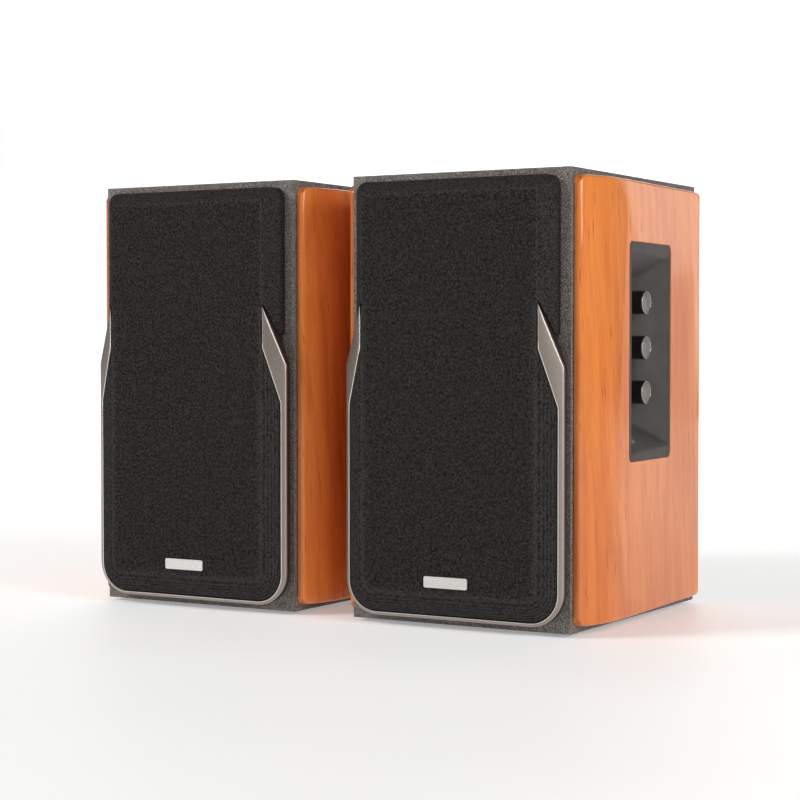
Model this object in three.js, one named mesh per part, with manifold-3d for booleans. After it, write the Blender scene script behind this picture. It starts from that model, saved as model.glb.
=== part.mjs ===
// A pair of two-way desktop speakers: an active one on the right, with side controls and the amplifier,
// and a passive one on the left. Millimetres, +Z up, the fronts face -Y. The origin is on the table,
// at the middle of the pair's footprint.
//
// Each speaker is modelled in its own frame: X to the right seen from the front, Y back from the
// cabinet's front face, Z up from its underside, and x = 0 at its middle.
import * as THREE from "three";
import { ConvexGeometry } from "three/addons/geometries/ConvexGeometry.js";
import { mergeVertices } from "three/addons/utils/BufferGeometryUtils.js";
import Module from "manifold-3d";

const wasm = await Module();
wasm.setup();

// ---- Driving dimensions ----

const GAP = 0.3; // clearance between pieces that touch
const CABINET = { width: 139.1, depth: 174.1, height: 255, wall: 9 };
const SPACING = 180.5; // between the middles of the two cabinets
const HALF = CABINET.width / 2;
const FOOT = { height: 2, length: 104, width: 12, inset: 20 };
const BAFFLE_THICKNESS = 12;
const BACK_THICKNESS = 9;

// The bowed wooden side panels. Depths are from the cabinet's front, bulges from its side.
const PANEL = { bottom: 4, top: 251, front: 3, back: 166, peak: 12.3, peakAt: 38, rear: 7.8, corner: 5 };

// The grille. Heights over the baffle are "rises": the face is furthest forward.
const FACE_RISE = 14.35;
const FACE_HALF = 56.55; // half the width of the flat face
const GRILLE_BACK = 0.5;
const UPPER = { half: 63.6, bottom: 20, top: 250.8, rise: 6.2, corner: 6.5 };
const LOWER = { half: 69.5, bottom: 3.75, top: 146, rise: 8.3, back: 4.3, corner: 20.5 };
const BLADE = { tip: 180.5, knee: 156.3, foot: 124, inner: 66.4, bottomInner: 5.8, corner: 17.2 };
const CLOTH = 1;
const TRIM = 1.2;
const FRAME_INSET = 1.5;
const GROOVE = 0.8; // between the cloth and the metal trim
const FRAME_WEB = 9.5; // rise of the back of the grille frame's front web
const WINDOWS = { half: 48, heights: [[29, 58], [66, 160], [170, 234]], corner: 4 }; // in that web
const PEG = { radius: 3, x: 54, low: 22, high: 236, length: 9.5 };
const BADGE = { width: 27.6, height: 6.3, thickness: 0.9, z: 25.6 };

// The drivers and the bass port, by the height of their axes.
const WOOFER = { z: 112, flange: 55, hole: 48.4, flangeThickness: 3.7 };
const TWEETER = { z: 206, flange: 30, hole: 21, flangeThickness: 3 };
const PORT = { z: 33, flange: 19, outer: 17, inner: 15, length: 90 };

// The control recess in the active speaker's outer side.
const RECESS = { front: 50, back: 115.9, bottom: 91.5, top: 216.8, corner: 5 };
const RECESS_FLOOR = { out: -4, front: 57, back: 94, bottom: 112, top: 196 };
const RECESS_MOUTH = { front: 54.5, back: 112, bottom: 95.6, top: 212.5, outFront: 12.1, outBack: 9.5 };
const TUB_BASE = 2.5; // thickness of the recess's floor
const KNOB = { radius: 6.8, height: 12, depth: 83.3, shaft: 3, reach: 12 };
const KNOB_HEIGHTS = { bass_knob: 130.6, treble_knob: 156.4, volume_knob: 182.4 };

// The active speaker's metal rear plate, and what sits in it by height.
const REAR_PLATE = { half: 42, bottom: 38, top: 198, thickness: 1.5 };
const REAR_FACE = CABINET.depth + GAP + REAR_PLATE.thickness;
const JACKS = { z: 168, pitch: 14, radius: 4.2, tip: 184 };
const TERMINAL_Z = 122;
const SWITCH_Z = 86;
const INLET_Z = 58;
const PASSIVE_TERMINAL_Z = 120;
const LEVER_X = 9.5;
const ROCKER = { y: -3, tilt: THREE.MathUtils.degToRad(8) };

// The pair's footprint runs from the badges to the tips of the input jacks.
const BADGE_FRONT = FACE_RISE + GAP + BADGE.thickness;
const FRONT_Y = -(JACKS.tip - BADGE_FRONT) / 2;

// Sides of small and large round pieces.
const COARSE = 14;
const FINE = 24;

// ---- Solids ----

// A closed geometry as a solid that can be joined and cut.
function solid(geometry) {
  const bare = geometry.clone();
  bare.deleteAttribute("normal");
  bare.deleteAttribute("uv");
  const merged = mergeVertices(bare, 1e-4);
  return new wasm.Manifold(
    new wasm.Mesh({
      numProp: 3,
      vertProperties: merged.attributes.position.array,
      triVerts: new Uint32Array(merged.index.array),
    }),
  );
}

function geometryOf(made) {
  const mesh = made.getMesh();
  const geometry = new THREE.BufferGeometry();
  geometry.setAttribute("position", new THREE.BufferAttribute(mesh.vertProperties, 3));
  geometry.setIndex(new THREE.BufferAttribute(mesh.triVerts, 1));
  geometry.computeVertexNormals();
  return geometry;
}

function join(first, ...others) {
  return geometryOf(others.reduce((made, other) => made.add(solid(other)), solid(first)));
}

function cut(base, ...tools) {
  return geometryOf(tools.reduce((made, tool) => made.subtract(solid(tool)), solid(base)));
}

function common(first, second) {
  return geometryOf(solid(first).intersect(solid(second)));
}

function block(x0, x1, y0, y1, z0, z1) {
  return new THREE.BoxGeometry(x1 - x0, y1 - y0, z1 - z0).translate(
    (x0 + x1) / 2,
    (y0 + y1) / 2,
    (z0 + z1) / 2,
  );
}

// A rod along Y at (x, z).
function rod(radius, y0, y1, x, z, sides = COARSE) {
  return new THREE.CylinderGeometry(radius, radius, y1 - y0, sides).translate(x, (y0 + y1) / 2, z);
}

// A body turned about Y from a profile of [radius, y] points.
function turned(profile, sides = FINE) {
  return new THREE.LatheGeometry(
    profile.map(([radius, y]) => new THREE.Vector2(radius, y)),
    sides,
  );
}

// An (x, z) shape, extruded from y0 to y1.
function extrudeY(shape, y0, y1, curveSegments = 3) {
  const settings = { depth: y1 - y0, bevelEnabled: false, curveSegments };
  return new THREE.ExtrudeGeometry(shape, settings).rotateX(Math.PI / 2).translate(0, y1, 0);
}

// A (y, z) shape, extruded from x0 to x1.
function extrudeX(shape, x0, x1, curveSegments = 3) {
  const settings = { depth: x1 - x0, bevelEnabled: false, curveSegments };
  const [x, y, z] = [0, 1, 2].map((axis) => new THREE.Vector3().setComponent(axis, 1));
  return new THREE.ExtrudeGeometry(shape, settings)
    .applyMatrix4(new THREE.Matrix4().makeBasis(y, z, x))
    .translate(x0, 0, 0);
}

function roundedRectangle(x0, y0, x1, y1, radius) {
  const quarter = Math.PI / 2;
  return new THREE.Shape()
    .absarc(x1 - radius, y0 + radius, radius, -quarter, 0)
    .absarc(x1 - radius, y1 - radius, radius, 0, quarter)
    .absarc(x0 + radius, y1 - radius, radius, quarter, 2 * quarter)
    .absarc(x0 + radius, y0 + radius, radius, 2 * quarter, 3 * quarter);
}

// ---- Cabinet ----

function recessWindow(clearance) {
  const { front, back, bottom, top, corner } = RECESS;
  return roundedRectangle(
    front + clearance,
    bottom + clearance,
    back - clearance,
    top - clearance,
    corner - clearance,
  );
}

// Four walls in one wrapped board, open at the front and the back.
function cabinetShell(active) {
  const { depth, height, wall } = CABINET;
  const inside = block(-HALF + wall, HALF - wall, -1, depth + 1, wall, height - wall);
  const shell = cut(block(-HALF, HALF, 0, depth, 0, height), inside);
  return active ? cut(shell, extrudeX(recessWindow(0), HALF - wall - 1, HALF + 1)) : shell;
}

function insetBoard(y0, y1) {
  const { height, wall } = CABINET;
  const half = HALF - wall - GAP;
  return block(-half, half, y0, y1, wall + GAP, height - wall - GAP);
}

function pegPlaces() {
  return [-PEG.x, PEG.x].flatMap((x) => [PEG.low, PEG.high].map((z) => [x, z]));
}

// The baffle has a stepped hole for each driver and the port, and sockets for the grille's pegs.
function baffleBoard() {
  const steppedHoles = [
    [WOOFER, WOOFER.hole, WOOFER.flangeThickness],
    [TWEETER, TWEETER.hole, TWEETER.flangeThickness],
    [PORT, PORT.outer + 2 * GAP, 2],
  ].flatMap(([part, hole, step]) => [
    rod(hole, -1, BAFFLE_THICKNESS + 1, 0, part.z, FINE),
    rod(part.flange + GAP, -1, step + GAP, 0, part.z, FINE),
  ]);
  const sockets = pegPlaces().map(([x, z]) => rod(PEG.radius + 0.4, -1, PEG.length + 0.7, x, z, 12));
  return cut(insetBoard(0, BAFFLE_THICKNESS), ...steppedHoles, ...sockets);
}

function backBoard(active) {
  const board = insetBoard(CABINET.depth - BACK_THICKNESS, CABINET.depth);
  const [y0, y1] = [CABINET.depth - BACK_THICKNESS - 1, CABINET.depth + 1];
  const border = 6;
  const opening = active
    ? block(
        -REAR_PLATE.half + border,
        REAR_PLATE.half - border,
        y0,
        y1,
        REAR_PLATE.bottom + border,
        REAR_PLATE.top - border,
      )
    : block(-19.5, 19.5, y0, y1, PASSIVE_TERMINAL_Z - 13, PASSIVE_TERMINAL_Z + 13);
  return cut(board, opening);
}

// The bowed outline of a side panel in plan, from `base` to its outer face less `inset`.
function panelOutline(side, base, inset) {
  const { front, back, peak, peakAt, rear } = PANEL;
  const x = (out) => side * (HALF + out - (out > base ? inset : 0));
  return new THREE.Shape()
    .moveTo(x(base), front + inset)
    .lineTo(x(2.4), front + inset)
    .bezierCurveTo(x(4.2), front + inset, x(4.9), front + 1.3, x(5.5), front + 3.1)
    .bezierCurveTo(x(7), front + 7.6, x(peak), 22, x(peak), peakAt)
    .bezierCurveTo(x(peak), 62, x(rear + 1.4), 105, x(rear), back - 3)
    .quadraticCurveTo(x(rear - 0.2), back, x(rear - 2.8), back)
    .lineTo(x(base), back);
}

// `base` may reach into the cabinet, for the control tub that fills the panel's window.
function panelSolid(side, base, inset) {
  const { bottom, top, front, back, corner } = PANEL;
  const settings = { depth: top - bottom, bevelEnabled: false, curveSegments: 7 };
  const bowed = new THREE.ExtrudeGeometry(panelOutline(side, base, inset), settings);
  bowed.translate(0, 0, bottom);
  const outline = roundedRectangle(front, bottom, back, top, corner);
  const [low, high] = [side * (HALF + base), side * (HALF + PANEL.peak + 1)].sort((a, b) => a - b);
  return common(bowed, extrudeX(outline, low - 1, high, 2));
}

function sidePanel(side, hasRecess) {
  const panel = panelSolid(side, GAP, 0);
  return hasRecess ? cut(panel, extrudeX(recessWindow(0), HALF - 1, HALF + 20)) : panel;
}

function footStrip(y) {
  const outline = roundedRectangle(-FOOT.length / 2, y, FOOT.length / 2, y + FOOT.width, 4);
  const settings = { depth: FOOT.height - GAP, bevelEnabled: false, curveSegments: 2 };
  return new THREE.ExtrudeGeometry(outline, settings).translate(0, 0, -FOOT.height);
}

// ---- Grille ----

// The straight-sided solid between two outlines of [x, z] points at two rises, as a hull.
function hullOfLayers(layers) {
  const points = layers.flatMap(([rise, outline]) =>
    outline.map(([x, z]) => new THREE.Vector3(x, -rise, z)),
  );
  return new ConvexGeometry(points);
}

function outlineOf(shape, curveSegments) {
  return shape.getPoints(curveSegments).map((point) => [point.x, point.y]);
}

// How a bevel's two edges move when the whole body is inset evenly.
function bevelShift(run, fall, inset) {
  const slope = fall / run;
  return {
    front: inset * Math.tan(Math.atan(slope) / 2),
    side: inset * (Math.hypot(1, slope) - slope),
  };
}

// The upper part of the grille: steep bevels at the top and the sides.
function upperBody(inset) {
  const { half, bottom, top, rise, corner } = UPPER;
  const run = half - FACE_HALF;
  const shift = bevelShift(run, FACE_RISE - rise, inset);
  const side = roundedRectangle(-half + inset, bottom + inset, half - inset, top - inset, corner - inset);
  const face = FACE_HALF - shift.front;
  const front = roundedRectangle(-face, bottom + run, face, top - run - shift.front, corner / 2);
  return hullOfLayers([
    [GRILLE_BACK, outlineOf(side, 2)],
    [rise - shift.side, outlineOf(side, 2)],
    [FACE_RISE - inset, outlineOf(front, 2)],
  ]);
}

// The lower part: shallow bevels that reach the full width, and end in two pointed blades at the top.
function lowerBody(inset) {
  const { half, bottom, top, rise, back, corner } = LOWER;
  const run = half - FACE_HALF;
  const shift = bevelShift(run, FACE_RISE - rise, inset);
  const lean = Math.atan2(run, BLADE.tip - top);
  const edgeHeight = (x) => BLADE.tip - (x - FACE_HALF) / Math.tan(lean) - inset / Math.sin(lean);
  const side = half - inset;
  const face = FACE_HALF - shift.front;
  const rounded = (reach, low, radius, high) => [
    [-reach, high],
    [reach, high],
    ...outlineOf(roundedRectangle(-reach, low, reach, high - 20, radius), 3).filter(([, z]) => z < high / 2),
  ];
  return hullOfLayers([
    [back, rounded(side, bottom + inset, corner - inset, edgeHeight(side))],
    [back, [[-face, edgeHeight(face)], [face, edgeHeight(face)]]],
    [rise - shift.side, rounded(side, bottom + inset, corner - inset, edgeHeight(side))],
    [FACE_RISE - inset, rounded(face, bottom + run + shift.front, corner - run, edgeHeight(face))],
  ]);
}

// Everything outside the trim's inner edge, seen from the front, grown inwards by `grow`.
function trimRegion(grow) {
  const { knee, foot, inner, bottomInner, corner } = BLADE;
  const face = FACE_HALF - grow;
  const side = inner - grow;
  const floor = bottomInner + grow;
  const radius = corner - grow;
  const [far, high] = [90, 200];
  const region = new THREE.Shape()
    .moveTo(far, high)
    .lineTo(face, high)
    .lineTo(face, knee)
    .lineTo(side, foot)
    .absarc(side - radius, floor + radius, radius, 0, -Math.PI / 2, true)
    .absarc(radius - side, floor + radius, radius, -Math.PI / 2, -Math.PI, true)
    .lineTo(-side, foot)
    .lineTo(-face, knee)
    .lineTo(-face, high)
    .lineTo(-far, high)
    .lineTo(-far, -far)
    .lineTo(far, -far);
  return extrudeY(region, -FACE_RISE - 5, 1);
}

function grilleTrim() {
  return cut(common(lowerBody(0), trimRegion(0)), lowerBody(TRIM));
}

function grilleCloth() {
  const skin = cut(join(upperBody(0), lowerBody(0)), upperBody(CLOTH), lowerBody(CLOTH));
  const trimSpace = common(lowerBody(-GROOVE), trimRegion(GROOVE));
  const behindTrim = block(-HALF, HALF, -LOWER.back - 0.2, 1, 0, LOWER.top);
  return cut(skin, trimSpace, behindTrim);
}

// The plastic frame under the cloth: a rim, a web with windows for the drivers and the port, four pegs.
function grilleFrame() {
  const stem = roundedRectangle(-UPPER.half + 2, 10, UPPER.half - 2, 200, 8);
  const filled = join(
    upperBody(FRAME_INSET),
    lowerBody(FRAME_INSET),
    extrudeY(stem, -LOWER.back - 0.7, -GRILLE_BACK),
  );
  const trimSpace = cut(common(lowerBody(-GAP), trimRegion(GAP)), lowerBody(FRAME_INSET));
  const hollow = extrudeY(roundedRectangle(-59.5, 10, 59.5, 245, 4), -FRAME_WEB, 1, 2);
  const windows = WINDOWS.heights.map(([low, high]) =>
    extrudeY(roundedRectangle(-WINDOWS.half, low, WINDOWS.half, high, WINDOWS.corner), -FACE_RISE, 0, 2),
  );
  const rim = cut(filled, trimSpace, hollow, ...windows);
  const pegs = pegPlaces().flatMap(([x, z]) => [
    rod(PEG.radius + 2, -FRAME_WEB - 0.5, -GRILLE_BACK, x, z, 12),
    rod(PEG.radius, -GRILLE_BACK - 1, PEG.length, x, z, 12),
  ]);
  return join(rim, ...pegs);
}

function grilleBadge() {
  const { width, height, z } = BADGE;
  const plate = roundedRectangle(-width / 2, z - height / 2, width / 2, z + height / 2, 1);
  return extrudeY(plate, -BADGE_FRONT, -FACE_RISE - GAP, 2);
}

// ---- Woofer, about its own axis ----

function arc(radius, y, bend, from, to, steps) {
  return Array.from({ length: steps + 1 }, (_, i) => {
    const angle = from + ((to - from) * i) / steps;
    return [radius + bend * Math.cos(angle), y + bend * Math.sin(angle)];
  });
}

function wooferBasket() {
  const step = WOOFER.flangeThickness;
  const profile = [
    [WOOFER.flange, 0],
    [WOOFER.flange, step],
    [48, step],
    [30, 40],
    [20, 40],
    [20, 38.2],
    [28.4, 38.2],
    [46.4, 0],
    [WOOFER.flange, 0],
  ];
  const windows = [1, 3, 5, 7].map((eighth) =>
    block(-15, 15, 12, 34, 20, 60).rotateY((eighth * Math.PI) / 4),
  );
  return cut(turned(profile), ...windows);
}

// Top plate, ring magnet, back plate and pole, with the voice coil's gap.
function wooferMotor() {
  return turned([
    [0, 40.3],
    [9.6, 40.3],
    [9.6, 58.3],
    [14.5, 58.3],
    [14.5, 45.3],
    [12.2, 45.3],
    [12.2, 40.3],
    [33, 40.3],
    [33, 45.3],
    [36, 45.3],
    [36, 58.3],
    [33, 58.3],
    [33, 63.3],
    [0, 63.3],
  ]);
}

// Paper cone with its dust cap and the voice coil's former.
function wooferCone() {
  const capEdge = 13;
  const cap = (radius) => 14.5 + 5.35 * (radius / capEdge) ** 2;
  const paper = 0.8;
  return turned([
    ...[0, 4.5, 9, capEdge].map((radius) => [radius, cap(radius)]),
    [37, 0],
    [40.6, 0],
    [40.6, paper],
    [37.4, paper + 0.1],
    [11.3, 22.5],
    [11.2, 50],
    [10.4, 50],
    ...[10.4, 9, 4.5, 0].map((radius) => [radius, cap(radius) + paper]),
  ]);
}

// A half roll of rubber between the cone's edge and the flange.
function wooferSurround() {
  const roll = { radius: 43.5, bend: 3.1, thickness: 0.8 };
  const inner = roll.bend - roll.thickness;
  return turned([
    [50, -1.1],
    [50, -GAP],
    ...arc(roll.radius, -GAP, inner, 0, -Math.PI, 4),
    [37.4, -GAP],
    [37.4, -1.1],
    ...arc(roll.radius, -1.1, roll.bend, -Math.PI, 0, 4),
    [50, -1.1],
  ]);
}

// The corrugated centring disc round the former.
function wooferSpider() {
  const radii = [11.6, 15, 18, 21, 24, 27, 30.8];
  const wave = (i) => 30 + (i % 2 ? 1.2 : 0);
  const front = radii.map((radius, i) => [radius, wave(i)]);
  const back = radii.map((radius, i) => [radius, wave(i) + 0.7]).reverse();
  return turned([...front, ...back, front[0]], COARSE);
}

// ---- Tweeter, about its own axis ----

function tweeterFaceplate() {
  const { flange, flangeThickness } = TWEETER;
  return turned([
    [20, 0],
    [flange, 0],
    [flange, flangeThickness],
    [20, flangeThickness],
    [20, 5.7],
    [17, 5.7],
    [17, flangeThickness],
    [13.4, flangeThickness],
    [13.4, 2.4],
    [20, 0],
  ]);
}

// A soft dome with its mounting ring and voice coil.
function tweeterDome() {
  const dome = (radius) => 0.6 + 3.6 * (radius / 12.6) ** 2;
  return turned(
    [
      ...[0, 4, 8, 12.6].map((radius) => [radius, dome(radius)]),
      [15.5, 4.2],
      [15.5, 4.8],
      [12.4, 4.8],
      [12.4, 8],
      [11.8, 8],
      [11.8, 4.8],
      ...[8, 4, 0].map((radius) => [radius, dome(radius) + 0.6]),
    ],
    COARSE,
  );
}

function tweeterMotor() {
  return turned(
    [
      [0, 6],
      [11, 6],
      [11, 12],
      [13.2, 12],
      [13.2, 6],
      [20, 6],
      [20, 24],
      [0, 24],
    ],
    COARSE,
  );
}

function portTube() {
  const { flange, outer, inner, length } = PORT;
  return turned(
    [
      [flange, 0],
      [flange, 2],
      [outer, 2],
      [outer, length],
      [inner, length],
      [inner, 5],
      [outer - 0.2, 0],
      [flange, 0],
    ],
    COARSE,
  );
}

// ---- Controls of the active speaker ----

// The recess's hollow: a floor and four ramps, carried on past the mouth.
function recessHollow() {
  const [floor, mouth] = [RECESS_FLOOR, RECESS_MOUTH];
  const past = 1.3;
  const points = ["front", "back"].flatMap((end) =>
    ["bottom", "top"].flatMap((level) => {
      const out = end === "front" ? mouth.outFront : mouth.outBack;
      const low = new THREE.Vector3(HALF + floor.out, floor[end], floor[level]);
      const high = new THREE.Vector3(HALF + out, mouth[end], mouth[level]);
      return [low, low.clone().lerp(high, past)];
    }),
  );
  return new ConvexGeometry(points);
}

// A small plate on the recess's lower ramp, grown by `grow`.
function sensorPlate(grow) {
  const tilt = Math.atan2(
    RECESS_FLOOR.bottom - RECESS_MOUTH.bottom,
    RECESS_MOUTH.outFront - RECESS_FLOOR.out,
  );
  return new THREE.BoxGeometry(7 + 2 * grow, 10 + 2 * grow, 1.4 + 2 * grow)
    .rotateY(tilt)
    .translate(HALF + 3.6, 66, 104.1);
}

function controlTub() {
  const base = RECESS_FLOOR.out - TUB_BASE;
  const outer = common(
    extrudeX(recessWindow(GAP), HALF + base, HALF + PANEL.peak + 1),
    panelSolid(1, base, 0.4),
  );
  const shaftHoles = Object.values(KNOB_HEIGHTS).map((z) =>
    new THREE.CylinderGeometry(KNOB.shaft + 0.6, KNOB.shaft + 0.6, 20, 16)
      .rotateZ(Math.PI / 2)
      .translate(HALF + base, KNOB.depth, z),
  );
  return cut(outer, recessHollow(), sensorPlate(GAP), ...shaftHoles);
}

// A knob on its shaft, turned about X from the recess's floor, with a pointer notch at the top.
function knob() {
  const { radius, height, shaft, reach } = KNOB;
  const body = turned(
    [
      [0, -reach],
      [shaft, -reach],
      [shaft, 0.5],
      [radius, 0.5],
      [radius, height - 0.5],
      [radius - 0.5, height],
      [0, height],
    ],
    COARSE,
  ).rotateZ(-Math.PI / 2);
  return cut(body, block(height - 0.8, height + 1, -0.6, 0.6, radius - 4.2, radius - 1));
}

// The board behind the recess, with a potentiometer under each knob.
function controlBoard() {
  const top = RECESS_FLOOR.out - TUB_BASE - GAP;
  const bottom = RECESS_FLOOR.out - KNOB.reach - 1;
  const heights = Object.values(KNOB_HEIGHTS);
  const pots = heights.map((z) =>
    block(HALF + bottom, HALF + top, KNOB.depth - 8, KNOB.depth + 8, z - 8, z + 8),
  );
  const bores = heights.map((z) =>
    new THREE.CylinderGeometry(KNOB.shaft + 0.4, KNOB.shaft + 0.4, KNOB.reach, 16)
      .rotateZ(Math.PI / 2)
      .translate(HALF + top - 3.6, KNOB.depth, z),
  );
  const board = block(HALF + bottom - 1.6, HALF + bottom, 58, 108, 116, 197);
  return cut(join(board, ...pots), ...bores);
}

// ---- Amplifier and power supply ----

function amplifierBoard() {
  const board = block(-35, 35, 146, 147.6, 60, 182);
  const heatSink = cut(
    block(-30, 30, 122, 146.5, 150, 176),
    ...[-22, -11, 0, 11, 22].map((x) => block(x - 3, x + 3, 121, 140, 149, 177)),
  );
  const capacitors = [-18, 18].map((x) => rod(9, 122, 146.5, x, 84));
  return join(board, heatSink, ...capacitors);
}

// A laminated core with its winding, on the cabinet's floor.
function transformer() {
  const floor = CABINET.wall + GAP;
  const core = block(-26, 26, 104, 126, floor, floor + 42);
  const winding = block(-16, 16, 98, 132, floor + 8, floor + 34);
  return join(core, winding);
}

// ---- Connectors ----

function rearPlate() {
  const { half, bottom, top, thickness } = REAR_PLATE;
  const [y0, y1] = [CABINET.depth + GAP, CABINET.depth + GAP + thickness];
  const plate = extrudeY(roundedRectangle(-half, bottom, half, top, 3), y0, y1, 1);
  const hole = (halfWidth, halfHeight, z) =>
    block(-halfWidth, halfWidth, y0 - 1, y1 + 1, z - halfHeight, z + halfHeight);
  const jackHoles = jackPlaces().map(([x, z]) => rod(JACKS.radius + 0.4, y0 - 1, y1 + 1, x, z));
  return cut(
    plate,
    ...jackHoles,
    hole(19.3, 12.8, TERMINAL_Z),
    hole(6.6, 10.5, SWITCH_Z),
    hole(9.8, 6.3, INLET_Z),
  );
}

function jackPlaces() {
  const reach = JACKS.pitch / 2;
  return [-reach, reach].flatMap((x) => [-reach, reach].map((z) => [x, JACKS.z + z]));
}

// Four phono sockets on one moulded block.
function inputJacks() {
  const inside = CABINET.depth;
  const base = block(-16, 16, inside - 12, inside, JACKS.z - 15, JACKS.z + 15);
  const barrels = jackPlaces().map(([x, z]) => rod(JACKS.radius, inside - 1, JACKS.tip, x, z));
  const bores = jackPlaces().map(([x, z]) => rod(1.7, JACKS.tip - 8, JACKS.tip + 1, x, z, 12));
  return cut(join(base, ...barrels), ...bores);
}

// A pair of spring terminals. Its own frame is on the face that it is screwed to.
function springTerminal() {
  const flange = extrudeY(roundedRectangle(-23, -16, 23, 16, 2), GAP, 1.6 + GAP, 1);
  const housing = block(-19, 19, -12, 1.6, -12.5, 12.5);
  const pockets = [-LEVER_X, LEVER_X].map((x) => block(x - 6, x + 6, -9, 3, -5, 10.5));
  const wireHoles = [-LEVER_X, LEVER_X].map((x) => rod(1.6, -7, 3, x, -8.6, 12));
  return cut(join(flange, housing), ...pockets, ...wireHoles);
}

function terminalLever() {
  return join(block(-5.4, 5.4, -0.6, 3.2, -3.2, 9.6), block(-5.4, 5.4, 3, 4.4, 7.4, 9.6));
}

function switchHousing() {
  const bezel = extrudeY(roundedRectangle(-7.8, -11.8, 7.8, 11.8, 1.5), GAP, 2, 1);
  const body = block(-6.3, 6.3, -14, 1.8, -10.2, 10.2);
  return cut(join(bezel, body), block(-5.2, 5.2, -10, 3, -9.2, 9.2));
}

// The rocker at its lower stop: its other stop is twice the tilt away, about X.
function powerRocker() {
  const outline = new THREE.Shape()
    .moveTo(4.3, -7.6)
    .lineTo(5.3, -7.4)
    .lineTo(4, 0)
    .lineTo(5.3, 7.4)
    .lineTo(4.3, 7.6)
    .absarc(0, 0, 4.2, Math.PI / 2, 1.5 * Math.PI);
  return extrudeX(outline, -4.8, 4.8).rotateX(-ROCKER.tilt).translate(0, ROCKER.y, 0);
}

// A two-pin mains socket.
function mainsInlet() {
  const bezel = extrudeY(roundedRectangle(-12.5, -8.5, 12.5, 8.5, 1.5), GAP, 2, 1);
  const body = block(-9.5, 9.5, -16, 1.8, -6, 6);
  const socket = extrudeY(roundedRectangle(-7.4, -3.9, 7.4, 3.9, 3.8), -12, 3, 2);
  const pins = [-4.3, 4.3].map((x) => rod(1.2, -13, -1, x, 0, 10));
  return join(cut(join(bezel, body), socket), ...pins);
}

// ---- Materials ----

function material(color, roughness, metalness = 0) {
  return new THREE.MeshStandardMaterial({ color, roughness, metalness });
}

const MATERIALS = {
  vinyl: material("#3b3735", 0.75),
  wood: material("#d9813f", 0.25),
  cloth: material("#2b2a29", 0.95),
  satinMetal: material("#a1968e", 0.35, 0.8),
  badgeMetal: material("#c9c4bf", 0.3, 0.9),
  blackPlastic: material("#1b1a1a", 0.5),
  greyPlastic: material("#6f6865", 0.45),
  window: material("#93897f", 0.25),
  paper: material("#26241f", 0.85),
  rubber: material("#191918", 0.8),
  steel: material("#8f8f90", 0.4, 0.9),
  ferrite: material("#3a3a3c", 0.6, 0.3),
  textile: material("#b0843f", 0.9),
  silk: material("#2c2b33", 0.6),
  board: material("#1f5b38", 0.5),
  redPlastic: material("#a8201c", 0.4),
  blackPaint: material("#242322", 0.55, 0.3),
};

// ---- Assembly ----

function piece(name, geometry, paint, x = 0, y = 0, z = 0) {
  const mesh = new THREE.Mesh(geometry, MATERIALS[paint]);
  mesh.name = name;
  mesh.position.set(x, y, z);
  return mesh;
}

// What both speakers have. `side` is +1 where the outer side is at +X.
function addSpeaker(group, prefix, side, active) {
  const add = (name, geometry, paint, x, y, z) =>
    group.add(piece(`${prefix}_${name}`, geometry, paint, x, y, z));
  add("cabinet_shell", cabinetShell(active), "vinyl");
  add("baffle_board", baffleBoard(), "vinyl");
  add("back_board", backBoard(active), "vinyl");
  add("outer_side_panel", sidePanel(side, active), "wood");
  add("inner_side_panel", sidePanel(-side, false), "wood");
  add("front_foot", footStrip(FOOT.inset), "rubber");
  add("rear_foot", footStrip(CABINET.depth - FOOT.inset - FOOT.width), "rubber");
  add("grille_frame", grilleFrame(), "blackPlastic");
  add("grille_cloth", grilleCloth(), "cloth");
  add("grille_trim", grilleTrim(), "satinMetal");
  add("grille_badge", grilleBadge(), "badgeMetal");
  add("woofer_basket", wooferBasket(), "blackPaint", 0, 0, WOOFER.z);
  add("woofer_motor", wooferMotor(), "ferrite", 0, 0, WOOFER.z);
  add("woofer_cone", wooferCone(), "paper", 0, 0, WOOFER.z);
  add("woofer_surround", wooferSurround(), "rubber", 0, 0, WOOFER.z);
  add("woofer_spider", wooferSpider(), "textile", 0, 0, WOOFER.z);
  add("tweeter_faceplate", tweeterFaceplate(), "blackPlastic", 0, 0, TWEETER.z);
  add("tweeter_dome", tweeterDome(), "silk", 0, 0, TWEETER.z);
  add("tweeter_motor", tweeterMotor(), "ferrite", 0, 0, TWEETER.z);
  add("port_tube", portTube(), "blackPlastic", 0, 0, PORT.z);
}

function addTerminal(group, prefix, y, z) {
  group.add(piece(`${prefix}_speaker_terminal`, springTerminal(), "blackPlastic", 0, y, z));
  const levers = { red: -LEVER_X, black: LEVER_X };
  for (const [colour, x] of Object.entries(levers))
    group.add(piece(`${prefix}_${colour}_lever`, terminalLever(), `${colour}Plastic`, x, y, z));
}

function addControls(group) {
  group.add(piece("control_tub", controlTub(), "greyPlastic"));
  group.add(piece("sensor_window", sensorPlate(0), "window"));
  group.add(piece("control_board", controlBoard(), "board"));
  for (const [name, z] of Object.entries(KNOB_HEIGHTS))
    group.add(piece(name, knob(), "blackPlastic", HALF + RECESS_FLOOR.out, KNOB.depth, z));
}

function addRear(group) {
  group.add(piece("amplifier_board", amplifierBoard(), "board"));
  group.add(piece("transformer", transformer(), "steel"));
  group.add(piece("rear_plate", rearPlate(), "blackPaint"));
  group.add(piece("input_jacks", inputJacks(), "blackPlastic"));
  group.add(piece("switch_housing", switchHousing(), "blackPlastic", 0, REAR_FACE, SWITCH_Z));
  group.add(piece("power_rocker", powerRocker(), "blackPlastic", 0, REAR_FACE, SWITCH_Z));
  group.add(piece("mains_inlet", mainsInlet(), "blackPlastic", 0, REAR_FACE, INLET_Z));
}

function speakerGroup(side) {
  const group = new THREE.Group();
  group.position.set((side * SPACING) / 2, FRONT_Y, FOOT.height);
  return group;
}

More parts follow.
